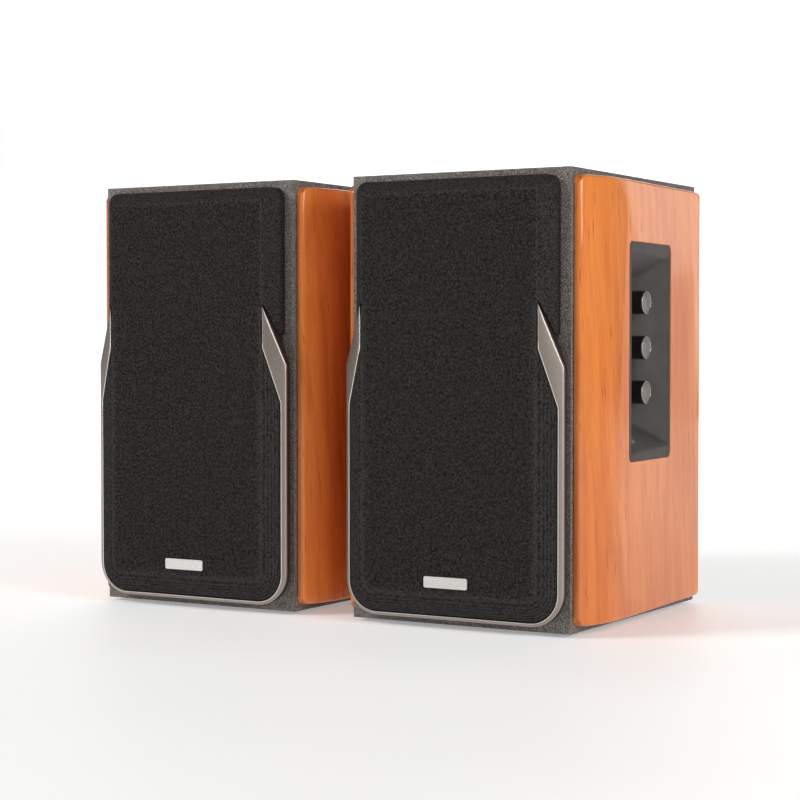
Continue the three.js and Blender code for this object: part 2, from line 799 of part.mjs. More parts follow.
const right = speakerGroup(1);
addSpeaker(right, "right", 1, true);
addControls(right);
addRear(right);
addTerminal(right, "right", REAR_FACE, TERMINAL_Z);

const left = speakerGroup(-1);
addSpeaker(left, "left", -1, false);
addTerminal(left, "left", CABINET.depth, PASSIVE_TERMINAL_Z);

const speakers = new THREE.Group();
speakers.add(right, left);

export default speakers;
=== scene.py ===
import math

import bmesh
import bpy
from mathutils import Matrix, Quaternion, Vector
from mathutils.geometry import delaunay_2d_cdt


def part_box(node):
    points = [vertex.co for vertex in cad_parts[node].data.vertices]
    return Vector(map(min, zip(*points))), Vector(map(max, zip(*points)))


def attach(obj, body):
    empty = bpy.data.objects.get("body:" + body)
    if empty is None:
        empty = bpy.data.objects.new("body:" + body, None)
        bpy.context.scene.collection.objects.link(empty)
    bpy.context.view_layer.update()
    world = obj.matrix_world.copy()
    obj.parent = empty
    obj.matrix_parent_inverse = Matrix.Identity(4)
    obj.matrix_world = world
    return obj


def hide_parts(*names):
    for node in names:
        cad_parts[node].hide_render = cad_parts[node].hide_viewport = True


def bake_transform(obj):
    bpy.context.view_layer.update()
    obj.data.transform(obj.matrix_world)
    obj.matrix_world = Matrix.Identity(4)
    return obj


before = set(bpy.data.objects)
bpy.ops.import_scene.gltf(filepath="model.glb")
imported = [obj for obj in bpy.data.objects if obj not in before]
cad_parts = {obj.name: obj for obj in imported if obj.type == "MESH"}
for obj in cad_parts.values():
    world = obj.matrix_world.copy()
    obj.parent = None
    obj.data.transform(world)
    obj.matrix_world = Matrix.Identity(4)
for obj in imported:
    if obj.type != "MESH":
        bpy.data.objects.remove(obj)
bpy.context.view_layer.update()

# Sizes are in millimetres in each speaker's own frame: X to the right seen from the front, Y back from
# the cabinet's front face, Z up from its underside, and x = 0 at its middle.
MM = 0.001
SIDES = {"right": 1, "left": -1}

HALF = 69.55
DEPTH = 174.1

# The wood panels: their extent, how far they bow out, and their rounded ends.
PANEL_FRONT, PANEL_BACK = 3.0, 166.0
PANEL_BOTTOM, PANEL_TOP = 4.0, 251.0
PANEL_PEAK, PANEL_PEAK_DEPTH, PANEL_REAR = 12.3, 38.0, 7.8
PANEL_CORNER = 5.0
PANEL_FILLET = 2.2
PANEL_INNER = 0.3

# The grille: a flat face, bevels that fall to an upper and a lower outline, and the trim with its blades.
FACE_RISE = 14.35
FACE_HALF = 56.55
UPPER_HALF, UPPER_TOP, UPPER_RISE, UPPER_CORNER = 63.6, 250.8, 6.2, 6.5
LOWER_HALF, LOWER_BOTTOM, LOWER_RISE, LOWER_BACK, LOWER_CORNER = 69.5, 3.75, 8.3, 4.3, 20.5
BLADE_TIP, BLADE_SHOULDER, BLADE_KNEE, BLADE_FOOT = 180.5, 146.0, 156.3, 124.0
TRIM_INNER, TRIM_BOTTOM, TRIM_CORNER = 66.4, 5.8, 17.2
GROOVE = 0.8

# The control recess in the right speaker's outer side, and its knobs.
RECESS_FRONT, RECESS_BACK, RECESS_BOTTOM, RECESS_TOP = 50.3, 115.6, 91.8, 216.5
RECESS_CORNER = 4.7
RECESS_FLOOR = -4.0
KNOB_RADIUS, KNOB_HEIGHT, KNOB_DEPTH = 6.8, 12.0, 83.3
KNOB_HEIGHTS = {"bass_knob": 130.6, "treble_knob": 156.4, "volume_knob": 182.4}

WOOFER_Z, TWEETER_Z, PORT_Z = 112.0, 206.0, 33.0


def speaker_origin(prefix):
    """Where a speaker's own frame stands in the row frame, in metres."""
    low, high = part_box(f"{prefix}_cabinet_shell")
    return Vector(((low.x + high.x) / 2, low.y, low.z))


ORIGINS = {prefix: speaker_origin(prefix) for prefix in SIDES}


# ---- Mesh tools ----


def added(name, data):
    """A new object in the scene."""
    obj = bpy.data.objects.new(name, data)
    bpy.context.scene.collection.objects.link(obj)
    return obj


def mesh_object(name, points, faces, origin, sharp_degrees=35):
    """A mesh from points in millimetres round origin, with its normals facing out."""
    mesh = bpy.data.meshes.new(name)
    mesh.from_pydata([origin + Vector(point) * MM for point in points], [], faces)
    edit = bmesh.new()
    edit.from_mesh(mesh)
    bmesh.ops.remove_doubles(edit, verts=edit.verts, dist=1e-7)
    bmesh.ops.recalc_face_normals(edit, faces=edit.faces)
    edit.to_mesh(mesh)
    edit.free()
    for polygon in mesh.polygons:
        polygon.use_smooth = True
    mesh.set_sharp_from_angle(angle=math.radians(sharp_degrees))
    return added(name, mesh)


def finish_piece(obj, body, material, stands_for=()):
    """Gives a piece its material, body and slot, and hides the CAD nodes that it stands for."""
    obj.data.materials.clear()
    obj.data.materials.append(material)
    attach(obj, body)
    if stands_for:
        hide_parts(*stands_for)


def lattice_faces(rows, columns, closed_rows=False, closed_columns=False):
    """Quads over a grid of points that is stored row by row."""
    faces = []
    for row in range(rows if closed_rows else rows - 1):
        for column in range(columns if closed_columns else columns - 1):
            next_column = (column + 1) % columns
            here, there = row * columns, (row + 1) % rows * columns
            faces.append((here + column, here + next_column, there + next_column, there + column))
    return faces


def skinned(sections):
    """Equal closed sections joined one after another, with the first and the last filled in."""
    size = len(sections[0])
    points = [point for section in sections for point in section]
    faces = lattice_faces(len(sections), size, closed_columns=True)
    faces += [tuple(range(size)), tuple(range(len(points) - size, len(points)))]
    return points, faces


def turned(profile, angle):
    return [(r * math.cos(angle), d, r * math.sin(angle)) for r, d in profile]


def lathe(profile, sides):
    """A closed profile of (radius, depth) points turned about Y."""
    points = []
    for index in range(sides):
        points += turned(profile, 2 * math.pi * index / sides)
    return points, lattice_faces(sides, len(profile), True, True)


def soften(profile, radius, steps=3):
    """The closed outline with its corners rounded, as far as the edges beside them allow."""
    softened = []
    count = len(profile)
    for index, corner in enumerate(profile):
        here = Vector(corner)
        before = Vector(profile[index - 1]) - here
        after = Vector(profile[(index + 1) % count]) - here
        reach = min(radius, 0.45 * before.length, 0.45 * after.length)
        first = here + before.normalized() * reach
        last = here + after.normalized() * reach
        for step in range(steps + 1):
            u = step / steps
            softened.append(tuple((1 - u) ** 2 * first + 2 * u * (1 - u) * here + u * u * last))
    return softened


def bezier(p0, p1, p2, p3, steps):
    """Points along a cubic curve, without its last."""
    points = []
    for step in range(steps):
        u = step / steps
        weights = ((1 - u) ** 3, 3 * u * (1 - u) ** 2, 3 * u * u * (1 - u), u**3)
        weighted = list(zip(weights, (p0, p1, p2, p3)))
        points.append(tuple(sum(w * p[axis] for w, p in weighted) for axis in (0, 1)))
    return points


def arc(centre, radius, start, end, steps):
    angles = [start + (end - start) * step / steps for step in range(steps + 1)]
    return [(centre[0] + radius * math.cos(a), centre[1] + radius * math.sin(a)) for a in angles]


def rounded_outline(x0, z0, x1, z1, radius, steps=8):
    """A rectangle with round corners, anticlockwise."""
    quarter = math.pi / 2
    left, low, right, high = x0 + radius, z0 + radius, x1 - radius, z1 - radius
    outline = []
    for turn, centre in enumerate(((right, low), (right, high), (left, high), (left, low))):
        outline += arc(centre, radius, (turn - 1) * quarter, turn * quarter, steps)
    return outline


def subdivided(outline, step):
    """The closed outline with points added, about step apart."""
    dense = []
    for (x0, z0), (x1, z1) in zip(outline, outline[1:] + outline[:1]):
        count = max(1, round(math.hypot(x1 - x0, z1 - z0) / step))
        dense += [(x0 + (x1 - x0) * i / count, z0 + (z1 - z0) * i / count) for i in range(count)]
    return dense


def inside_distance(x, z, half, bottom, top, corner):
    """How far (x, z) is inside a round-cornered rectangle that is centred on x = 0."""
    dx = abs(x) - (half - corner)
    dz = max(bottom + corner - z, z - (top - corner))
    outside = math.hypot(max(dx, 0), max(dz, 0))
    return corner - outside - min(max(dx, dz), 0)


def soft_min(values, softness):
    """The least of the values, with the change from one to the next smoothed over."""
    least = min(values)
    return least - softness * math.log(sum(math.exp((least - v) / softness) for v in values))


def soft_max(values, softness):
    return -soft_min([-v for v in values], softness)


def applied(obj):
    """Replaces obj's mesh by what its modifiers make of it."""
    bpy.context.view_layer.update()
    evaluated = obj.evaluated_get(bpy.context.evaluated_depsgraph_get())
    made = bpy.data.meshes.new_from_object(evaluated)
    obj.modifiers.clear()
    obj.data = made


def bevel_edges(obj, width):
    """Rounds a carried-over part's edges with a modifier, which leaves its mesh as it is."""
    modifier = obj.modifiers.new("edges", "BEVEL")
    modifier.width = width * MM
    modifier.segments = 3
    modifier.limit_method = "ANGLE"
    modifier.angle_limit = math.radians(40)


# ---- Materials ----


class Paint:
    """A node material under construction: one shader, and helpers for the textures that feed it."""

    def __init__(self, name, **sockets):
        self.material = bpy.data.materials.new(name)
        self.material.use_nodes = True
        self.tree = self.material.node_tree
        self.shader = self.tree.nodes["Principled BSDF"]
        self.coordinates = self.tree.nodes.new("ShaderNodeTexCoord").outputs["Object"]
        for socket, value in sockets.items():
            self.shader.inputs[socket.replace("_", " ")].default_value = value

    def link(self, output, target):
        self.tree.links.new(output, target)

    def node(self, kind, **settings):
        made = self.tree.nodes.new(kind)
        for key, value in settings.items():
            setattr(made, key, value)
        return made

    def mapped(self, scale=(1, 1, 1), degrees=(0, 0, 0), kind="POINT"):
        mapping = self.node("ShaderNodeMapping", vector_type=kind)
        mapping.inputs["Rotation"].default_value = [math.radians(angle) for angle in degrees]
        mapping.inputs["Scale"].default_value = scale
        self.link(self.coordinates, mapping.inputs["Vector"])
        return mapping.outputs["Vector"]

    def grain(self, across, along, lean=3.5):
        """Coordinates for a texture that is drawn out upwards, leaning by some degrees."""
        return self.mapped((1 / across, 1 / across, 1 / along), (lean, 0, 0), "TEXTURE")

    def noise(self, scale, detail=3.0, roughness=0.5, vector=None, distortion=0.0):
        noise = self.node("ShaderNodeTexNoise")
        noise.inputs["Scale"].default_value = scale
        noise.inputs["Detail"].default_value = detail
        noise.inputs["Roughness"].default_value = roughness
        noise.inputs["Distortion"].default_value = distortion
        self.link(vector or self.coordinates, noise.inputs["Vector"])
        return noise.outputs["Fac"]

    def ramp(self, factor, *stops):
        ramp = self.node("ShaderNodeValToRGB")
        elements = ramp.color_ramp.elements
        while len(elements) < len(stops):
            elements.new(0.5)
        for element, (position, colour) in zip(elements, stops):
            element.position = position
            element.color = srgb(colour) if isinstance(colour, str) else (colour, colour, colour, 1)
        self.link(factor, ramp.inputs["Fac"])
        return ramp.outputs["Color"]

    def mix(self, factor, colour, tint):
        """A colour output run over to a plain tint, as far as the factor says."""
        mix = self.node("ShaderNodeMix", data_type="RGBA")
        self.link(factor, mix.inputs[0])
        self.link(colour, mix.inputs[6])
        mix.inputs[7].default_value = tint
        return mix.outputs[2]

    def combine(self, operation, first, second):
        maths = self.node("ShaderNodeMath", operation=operation)
        self.link(first, maths.inputs[0])
        self.link(second, maths.inputs[1])
        return maths.outputs[0]

    def bump(self, height, strength, distance):
        bump = self.node("ShaderNodeBump")
        bump.inputs["Strength"].default_value = strength
        bump.inputs["Distance"].default_value = distance
        self.link(height, bump.inputs["Height"])
        self.link(bump.outputs["Normal"], self.shader.inputs["Normal"])

    def colour(self, output):
        self.link(output, self.shader.inputs["Base Color"])

    def roughness(self, output):
        self.link(output, self.shader.inputs["Roughness"])


def srgb(code):
    """A #rrggbb colour as linear values, with an alpha of 1."""
    channels = [int(code[i : i + 2], 16) / 255 for i in (1, 3, 5)]
    linear = [c / 12.92 if c <= 0.04045 else ((c + 0.055) / 1.055) ** 2.4 for c in channels]
    return (*linear, 1)


def vinyl():
    """Black wrap with a fine leather-like pebble and lighter speckles."""
    paint = Paint("vinyl", Roughness=0.62)
    pebbles = paint.noise(1500, detail=4, roughness=0.7)
    tone = paint.noise(2200, detail=2)
    paint.colour(paint.ramp(tone, (0.36, "#302c29"), (0.52, "#5f5955"), (0.68, "#b0a79f")))
    paint.roughness(paint.ramp(pebbles, (0.3, 0.5), (0.7, 0.75)))
    paint.bump(pebbles, 0.6, 0.0004)
    return paint.material


def wood():
    """Honey-coloured veneer, its grain upright with a slight lean, under a clear gloss lacquer."""
    paint = Paint(
        "wood",
        Roughness=0.45,
        Coat_Weight=0.72,
        Coat_Roughness=0.05,
        Coat_IOR=1.5,
        Specular_IOR_Level=0.12,
    )
    broad_grain = paint.noise(1.0, 3, 0.55, paint.grain(34, 5.5), distortion=0.8)
    streaks = paint.noise(1.0, 5, 0.6, paint.grain(150, 9), distortion=0.4)
    fibres = paint.noise(1.0, 3, 0.6, paint.grain(1100, 40))
    pores = paint.noise(1.0, 2, 0.5, paint.grain(620, 55))
    base = paint.ramp(
        broad_grain, (0.3, "#e58a45"), (0.47, "#dd7f3c"), (0.6, "#d37435"), (0.75, "#bf5f29")
    )
    streaked = paint.mix(paint.ramp(streaks, (0.48, 0.0), (0.75, 0.5)), base, srgb("#b3561f"))
    fibrous = paint.mix(paint.ramp(fibres, (0.4, 0.0), (0.75, 0.22)), streaked, srgb("#9d4818"))
    pored = paint.mix(paint.ramp(pores, (0.64, 0.0), (0.74, 0.5)), fibrous, srgb("#7b3410"))
    paint.colour(pored)
    paint.bump(fibres, 0.04, 0.0002)
    return paint.material


def grille_fabric():
    """Close black knit: small loops in rows, with a few threads that catch the light."""
    paint = Paint("grille_fabric", Roughness=0.95, Specular_IOR_Level=0.06)
    loops = paint.node("ShaderNodeTexVoronoi", feature="F1")
    loops.inputs["Scale"].default_value = 1.0
    loops.inputs["Randomness"].default_value = 0.45
    paint.link(paint.mapped((1250, 1250, 1000), (0, 33, 0)), loops.inputs["Vector"])
    lumps = paint.noise(700, detail=3, roughness=0.7)
    threads = paint.ramp(loops.outputs["Distance"], (0.1, "#4a4745"), (0.6, "#100f0f"))
    paint.colour(paint.mix(paint.ramp(lumps, (0.4, 0.0), (0.75, 0.5)), threads, srgb("#4f4b48")))
    height = paint.combine("SUBTRACT", lumps, loops.outputs["Distance"])
    paint.bump(height, 0.55, 0.0005)
    return paint.material


def metal(name, light, dark, roughness, brushed=(600, 600, 600)):
    """Satin metal with a faint grain in its colour and gloss."""
    paint = Paint(name, Metallic=0.85, Roughness=roughness)
    grain = paint.noise(1.0, 3, 0.6, paint.mapped(brushed))
    paint.colour(paint.ramp(grain, (0.3, dark), (0.7, light)))
    paint.roughness(paint.ramp(grain, (0.3, roughness - 0.06), (0.7, roughness + 0.08)))
    paint.bump(grain, 0.05, 0.0001)
    return paint.material


def plastic(name, light, dark, roughness, texture=900, relief=0.12, gloss=0.5):
    """Moulded plastic with a fine spark-eroded texture."""
    paint = Paint(name, Roughness=roughness, Specular_IOR_Level=gloss)
    grain = paint.noise(texture, 3, 0.6)
    cloud = paint.noise(60, 2, 0.5)
    paint.colour(paint.ramp(cloud, (0.35, dark), (0.65, light)))
    paint.roughness(paint.ramp(grain, (0.3, roughness - 0.07), (0.7, roughness + 0.09)))
    paint.bump(grain, relief, 0.0002)
    return paint.material


def paper():
    """Black pulp with short fibres."""
    paint = Paint("paper_cone", Roughness=0.8)
    fibres = paint.noise(1.0, 4, 0.7, paint.mapped((500, 900, 350)))
    paint.colour(paint.ramp(fibres, (0.35, "#1c1a18"), (0.55, "#2a2725"), (0.75, "#4a4540")))
    paint.bump(fibres, 0.25, 0.0004)
    return paint.material


def woven(name, light, dark, pitch):
    """A visible over-and-under weave, its pitch in millimetres."""
    paint = Paint(name, Roughness=0.85)
    warp = paint.node("ShaderNodeTexWave", wave_type="BANDS", bands_direction="X")
    weft = paint.node("ShaderNodeTexWave", wave_type="BANDS", bands_direction="Z")
    for threads in (warp, weft):
        threads.inputs["Scale"].default_value = 1 / (pitch * 20 * MM)
        threads.inputs["Distortion"].default_value = 0.3
        paint.link(paint.coordinates, threads.inputs["Vector"])
    weave = paint.combine("MULTIPLY", warp.outputs["Fac"], weft.outputs["Fac"])
    paint.colour(paint.ramp(weave, (0.1, dark), (0.8, light)))
    paint.bump(weave, 0.4, 0.0004)
    return paint.material


def circuit():
    """Green solder mask over copper tracks."""
    paint = Paint("circuit_board", Roughness=0.35)
    tracks = paint.node("ShaderNodeTexBrick")
    tracks.inputs["Scale"].default_value = 90
    tracks.inputs["Mortar Size"].default_value = 0.05
    tracks.inputs["Color1"].default_value = srgb("#1d5c34")
    tracks.inputs["Color2"].default_value = srgb("#184e2c")
    tracks.inputs["Mortar"].default_value = srgb("#3d8a52")
    paint.link(paint.mapped(degrees=(90, 0, 0)), tracks.inputs["Vector"])
    paint.colour(tracks.outputs["Color"])
    paint.bump(tracks.outputs["Fac"], 0.2, 0.0002)
    return paint.material


def knob_face():
    """Grey anodised disc with a fine mottle."""
    paint = Paint("knob_face", Metallic=0.55, Roughness=0.38)
    mottle = paint.noise(2500, 2, 0.6)
    paint.colour(paint.ramp(mottle, (0.3, "#776f6b"), (0.7, "#928a85")))
    paint.roughness(paint.ramp(mottle, (0.3, 0.32), (0.7, 0.45)))
    return paint.material


def floor_paint():
    """White sheet that glows a little, so that it stays white in soft light."""
    paint = Paint("floor", Roughness=0.55, Emission_Strength=0.27)
    paint.shader.inputs["Emission Color"].default_value = srgb("#ffffff")
    cloud = paint.noise(3, 2, 0.5)
    paint.colour(paint.ramp(cloud, (0.3, "#f4f3f2"), (0.7, "#fafaf9")))
    return paint.material


MATERIALS = {
    "vinyl": vinyl(),
    "wood": wood(),
    "grille_fabric": grille_fabric(),
    "satin_trim": metal("satin_trim", "#9e948c", "#958b84", 0.34, (2600, 2600, 2600)),
    # A brighter, glossier copy of the satin trim: the painted highlight on the trim's inner bevel and on
    # the knob rims.
    "painted_highlight_metal": metal("painted_highlight_metal", "#f1ebe6", "#ddd5cf", 0.2),
    "badge_metal": metal("badge_metal", "#e2dedb", "#cdc8c4", 0.3, (400, 400, 3000)),
    "black_plastic": plastic("black_plastic", "#1d1c1c", "#151414", 0.5),
    "knob_plastic": plastic("knob_plastic", "#161515", "#0f0f0f", 0.36, 1800, 0.05),
    "knob_face": knob_face(),
    "grey_plastic": plastic("grey_plastic", "#494542", "#403d3b", 0.45, 1400, 0.15, 0.2),
    "sensor_window": plastic("sensor_window", "#8f8580", "#7f7570", 0.22, 500, 0.03),
    "black_paint": plastic("black_paint", "#262524", "#1e1d1d", 0.45, 1600, 0.2),
    "paper_cone": paper(),
    "surround_rubber": plastic("surround_rubber", "#1c1b1b", "#141414", 0.62, 1200, 0.1),
    "foot_rubber": plastic("foot_rubber", "#1f1e1e", "#161616", 0.85, 700, 0.4),
    "motor_steel": metal("motor_steel", "#a4a5a8", "#85868a", 0.35),
    "ferrite": plastic("ferrite", "#3b3b3e", "#303033", 0.6, 700, 0.3),
    "spider_cloth": woven("spider_cloth", "#c29a55", "#7d5a24", 0.8),
    "silk_dome": woven("silk_dome", "#34333a", "#1c1b20", 0.35),
    "red_plastic": plastic("red_plastic", "#b0241e", "#9d1d18", 0.35, 900, 0.08),
    "white_plastic": plastic("white_plastic", "#e8e6e2", "#dad8d4", 0.35, 900, 0.08),
    "circuit_board": circuit(),
    "transformer_steel": metal("transformer_steel", "#7d7f85", "#5f6167", 0.45, (900, 60, 900)),
    "screw_steel": metal("screw_steel", "#3a3a3c", "#29292b", 0.35),
    "gold": metal("gold", "#e0b45c", "#c9993f", 0.25),
}


# ---- Camera, light and floor ----


def add_camera():
    """A long lens, turned to the left and a little down, at the pair's right front corner."""
    data = bpy.data.cameras.new("camera")
    data.lens = 89.45
    data.sensor_width = 36
    data.clip_end = 50
    pitch_down, turn_left = 1.72, 30.67
    camera = added("camera", data)
    camera.location = (0.6307, -1.0601, 0.1626)
    camera.rotation_euler = (math.radians(90 - pitch_down), 0, math.radians(turn_left))
    bpy.context.scene.camera = camera


def add_area(name, location, target, size, power, roll=0):
    """A rectangular softbox that faces a target, turned about its own axis by roll degrees."""
    data = bpy.data.lights.new(name, "AREA")
    data.shape = "RECTANGLE"
    data.size, data.size_y = size
    data.energy = power
    light = added(name, data)
    light.location = location
    aim = Vector(target) - Vector(location)
    turn = aim.to_track_quat("-Z", "Y") @ Quaternion((0, 0, 1), math.radians(roll))
    light.rotation_euler = turn.to_euler()


def add_lights():
    """Softboxes in front and to the right, a wash on the backdrop, and one that the lacquer mirrors."""
    middle = (0, 0, 0.13)
    right_panel = (0.17, 0, 0.2)
    add_area("key", (-1.8, -2.0, 1.6), middle, size=(1.0, 1.2), power=54)
    add_area("side", (2.2, -0.65, 0.9), (0.1, 0, 0.12), size=(0.9, 1.2), power=28)
    add_area("front_right", (1.9, -1.6, 0.9), middle, size=(0.8, 1.0), power=11)
    add_area("backdrop_wash", (-1.4, 1.2, 2.8), (-2.2, 4.0, 0.7), size=(2.4, 1.0), power=105)
    add_area("rear_softbox", (0.96, 2.7, 0.76), right_panel, size=(1.2, 0.8), power=2.1, roll=-46)
    world = bpy.data.worlds.new("studio")
    world.use_nodes = True
    background = world.node_tree.nodes["Background"]
    background.inputs["Color"].default_value = srgb("#ffffff")
    background.inputs["Strength"].default_value = 0.1
    bpy.context.scene.world = world
    bpy.context.scene.view_settings.view_transform = "Standard"


def stage_sheet(name, points, material):
    """A smooth sheet between two rows of points, such as the studio's floor or backdrop."""
    mesh = bpy.data.meshes.new(name)
    mesh.from_pydata(points, [], lattice_faces(2, len(points) // 2))
    for polygon in mesh.polygons:
        polygon.use_smooth = True
    mesh.materials.append(material)
    sheet = added(name, mesh)


def add_floor():
    """A wide pale floor, a backdrop that curves up behind the pair, and a card for the gloss to catch."""
    material = floor_paint()
    reach, floor_end = 7.0, 3.0
    floor = [(x, y, 0.0) for x in (-reach, reach) for y in (-reach, floor_end)]
    stage_sheet("floor", floor, material)
    bend_radius, wall_height, steps = 1.2, 4.0, 12
    turns = [math.pi / 2 * step / steps for step in range(steps + 1)]
    section = [(floor_end + bend_radius * math.sin(a), bend_radius * (1 - math.cos(a))) for a in turns]
    section.append((floor_end + bend_radius, wall_height))
    for name, left, right in (("backdrop", -reach, -0.5), ("reflector", 0.95, 1.75)):
        sheet = [(x, y, z) for x in (left, right) for y, z in section]
        stage_sheet(name, sheet, material)


# ---- Wood side panels ----


def panel_profile():
    """The bowed outline in plan, as (outwards, depth) from the front edge to the back edge."""
    innermost = PANEL_INNER + 0.05
    nose_start, nose_end = (2.4, PANEL_FRONT), (5.5, 6.1)
    peak = (PANEL_PEAK, PANEL_PEAK_DEPTH)
    tail_start, tail_end = (PANEL_REAR, 163), (5.0, PANEL_BACK)
    curve = [(innermost, 3.3), (1.2, 3.06)]
    curve += bezier(nose_start, (4.2, PANEL_FRONT), (4.9, 4.3), nose_end, 8)
    curve += bezier(nose_end, (7.0, 10.6), (PANEL_PEAK, 22), peak, 14)
    curve += bezier(peak, (PANEL_PEAK, 62), (9.2, 105), tail_start, 18)
    curve += bezier(tail_start, (7.7, 165), (6.8, PANEL_BACK), tail_end, 5)
    return curve + [tail_end, (innermost, PANEL_BACK)]


PROFILE = panel_profile()


def bulge_at(depth):
    """How far the panel's outer face stands from the cabinet's side at a depth."""
    for (out0, depth0), (out1, depth1) in zip(PROFILE, PROFILE[1:]):
        if depth0 <= depth <= depth1 and depth1 > depth0:
            return out0 + (out1 - out0) * (depth - depth0) / (depth1 - depth0)
    return PROFILE[-1][0]


def corner_drop(depth, front, back, corner):
    """How much a round corner takes off the height at a depth."""
    inset = corner - min(depth - front, back - depth, corner)
    return corner - math.sqrt(max(corner**2 - inset**2, 0))


def profile_normals(profile):
    """The direction out of the panel at each point of the profile."""
    normals = []
    for index in range(len(profile)):
        before = Vector(profile[max(index - 1, 0)])
        after = Vector(profile[min(index + 1, len(profile) - 1)])
        along = (after - before).normalized()
        normals.append(Vector((along.y, -along.x)))
    return normals


def end_rounding(out, depth, normal, fillet, steps=5):
    """How a column's end curves in, as (outwards, depth, rise above the end)."""
    ends = []
    for step in range(steps + 1):
        angle = math.pi / 2 * step / steps
        inwards = fillet * (1 - math.sin(angle))
        rise = fillet * (1 - math.cos(angle))
        ends.append((out - normal.x * inwards, depth - normal.y * inwards, rise))
    return ends


def panel_column(out, depth, normal, rows=24):
    """The panel's section at one point of its profile, from the bottom to the top."""
    drop = corner_drop(depth, PANEL_FRONT, PANEL_BACK, PANEL_CORNER)
    bottom, top = PANEL_BOTTOM + drop, PANEL_TOP - drop
    fillet = min(PANEL_FILLET, 0.45 * (out - PANEL_INNER)) * max(abs(normal.x), 0.05)
    ends = end_rounding(out, depth, normal, fillet)
    low, high = bottom + fillet, top - fillet
    column = [(PANEL_INNER, depth, bottom)]
    column += [(x, y, bottom + rise) for x, y, rise in ends]
    column += [(out, depth, low + (high - low) * i / rows) for i in range(1, rows)]
    column += [(x, y, top - rise) for x, y, rise in reversed(ends)]
    column.append((PANEL_INNER, depth, top))
    return column


def wood_panel(prefix, which, side, has_recess):
    """Columns side by side, one for each point of the profile."""
    columns = [
        [(side * (HALF + x), y, z) for x, y, z in panel_column(out, depth, normal)]
        for (out, depth), normal in zip(PROFILE, profile_normals(PROFILE))
    ]
    points, faces = skinned(columns)
    name = f"{prefix}_{which}_side_veneer"
    panel = mesh_object(name, points, faces, ORIGINS[prefix], sharp_degrees=40)
    if has_recess:
        cut_window(panel, window_cutter(ORIGINS[prefix]))
    finish_piece(panel, "cabinets", MATERIALS["wood"], [f"{prefix}_{which}_side_panel"])


def cut_window(panel, cutter):
    """Cuts the recess's window, and keeps the smooth shading that the whole panel has."""
    whole = panel.copy()
    bpy.context.scene.collection.objects.link(whole)
    cut = panel.modifiers.new("cut", "BOOLEAN")
    cut.operation = "DIFFERENCE"
    cut.solver = "EXACT"
    cut.object = cutter
    applied(panel)
    bpy.data.objects.remove(cutter)
    shading = panel.modifiers.new("shading", "DATA_TRANSFER")
    shading.object = whole
    shading.use_loop_data = True
    shading.data_types_loops = {"CUSTOM_NORMAL"}
    shading.loop_mapping = "NEAREST_POLYNOR"
    applied(panel)
    bpy.data.objects.remove(whole)


def recess_outline(growth, corner):
    """The recess's outline in (depth, height), grown all round."""
    low_y, low_z = RECESS_FRONT - growth, RECESS_BOTTOM - growth
    return rounded_outline(low_y, low_z, RECESS_BACK + growth, RECESS_TOP + growth, corner)


def window_cutter(origin):
    clearance = 0.3
    outline = recess_outline(clearance, RECESS_CORNER + clearance)
    points, faces = skinned([[(HALF + x, y, z) for y, z in outline] for x in (-2, 20)])
    return mesh_object("window_cutter", points, faces, origin)


def recess_edge():
    """The rounded lacquered edge of the wood round the control recess."""
    radius, sides, sunk = 0.55, 10, 0.42
    outline = subdivided(recess_outline(0.45, RECESS_CORNER), 6)
    middle = Vector(((RECESS_FRONT + RECESS_BACK) / 2, (RECESS_BOTTOM + RECESS_TOP) / 2))
    points = []
    for y, z in outline:
        outwards = (Vector((y, z)) - middle).normalized()
        for index in range(sides):
            angle = 2 * math.pi * index / sides
            reach = radius * math.cos(angle)
            x = HALF + bulge_at(y) - sunk + radius * math.sin(angle)
            points.append((x, y + outwards.x * reach, z + outwards.y * reach))
    faces = lattice_faces(len(outline), sides, True, True)
    edge = mesh_object("recess_edge", points, faces, ORIGINS["right"], 80)
    finish_piece(edge, "cabinets", MATERIALS["wood"])


# ---- Control recess ----


def recess_surface(depth, height):
    """How far out the tub's surface stands: a rim, then ramps that run softly into the floor."""
    rim = bulge_at(depth) - 0.35
    # Each as its height over the floor, and how softly it joins what is there already.
    back_ramp = ((depth - 93) * 0.66, 1.6)
    top_ramp = ((height - 196) * 0.98, 0.35)
    bottom_ramp = ((112 - height) * 0.98, 0.35)
    front_wall = ((57 - depth) * 6.4, 0.4)
    hollow = RECESS_FLOOR
    for rise, softness in (back_ramp, top_ramp, bottom_ramp, front_wall):
        hollow = soft_max([hollow, RECESS_FLOOR + rise], softness)
    return soft_min([rim, hollow], 0.15)


def graded(start, end, step, fine_start, fine_end, fine_step):
    """Grid lines from start to end, close together between fine_start and fine_end."""
    lines = [start]
    while lines[-1] < end - 1e-6:
        fine = fine_start <= lines[-1] < fine_end
        lines.append(min(end, lines[-1] + (fine_step if fine else step)))
    return lines


def control_tub():
    """The tub's surface in columns, which are close together over the steep front wall."""
    base = HALF + RECESS_FLOOR - 2.5
    rows = 120
    columns = []
    for depth in graded(RECESS_FRONT, RECESS_BACK, 1.1, RECESS_FRONT + 3, 58, 0.22):
        drop = corner_drop(depth, RECESS_FRONT, RECESS_BACK, RECESS_CORNER)
        low, high = RECESS_BOTTOM + drop, RECESS_TOP - drop
        heights = [low + (high - low) * i / rows for i in range(rows + 1)]
        surface = [(HALF + recess_surface(depth, z), depth, z) for z in heights]
        columns.append([(base, depth, low), *surface, (base, depth, high)])
    points, faces = skinned(columns)
    tub = mesh_object("control_tub_moulding", points, faces, ORIGINS["right"], 30)
    finish_piece(tub, "cabinets", MATERIALS["grey_plastic"], ["control_tub"])


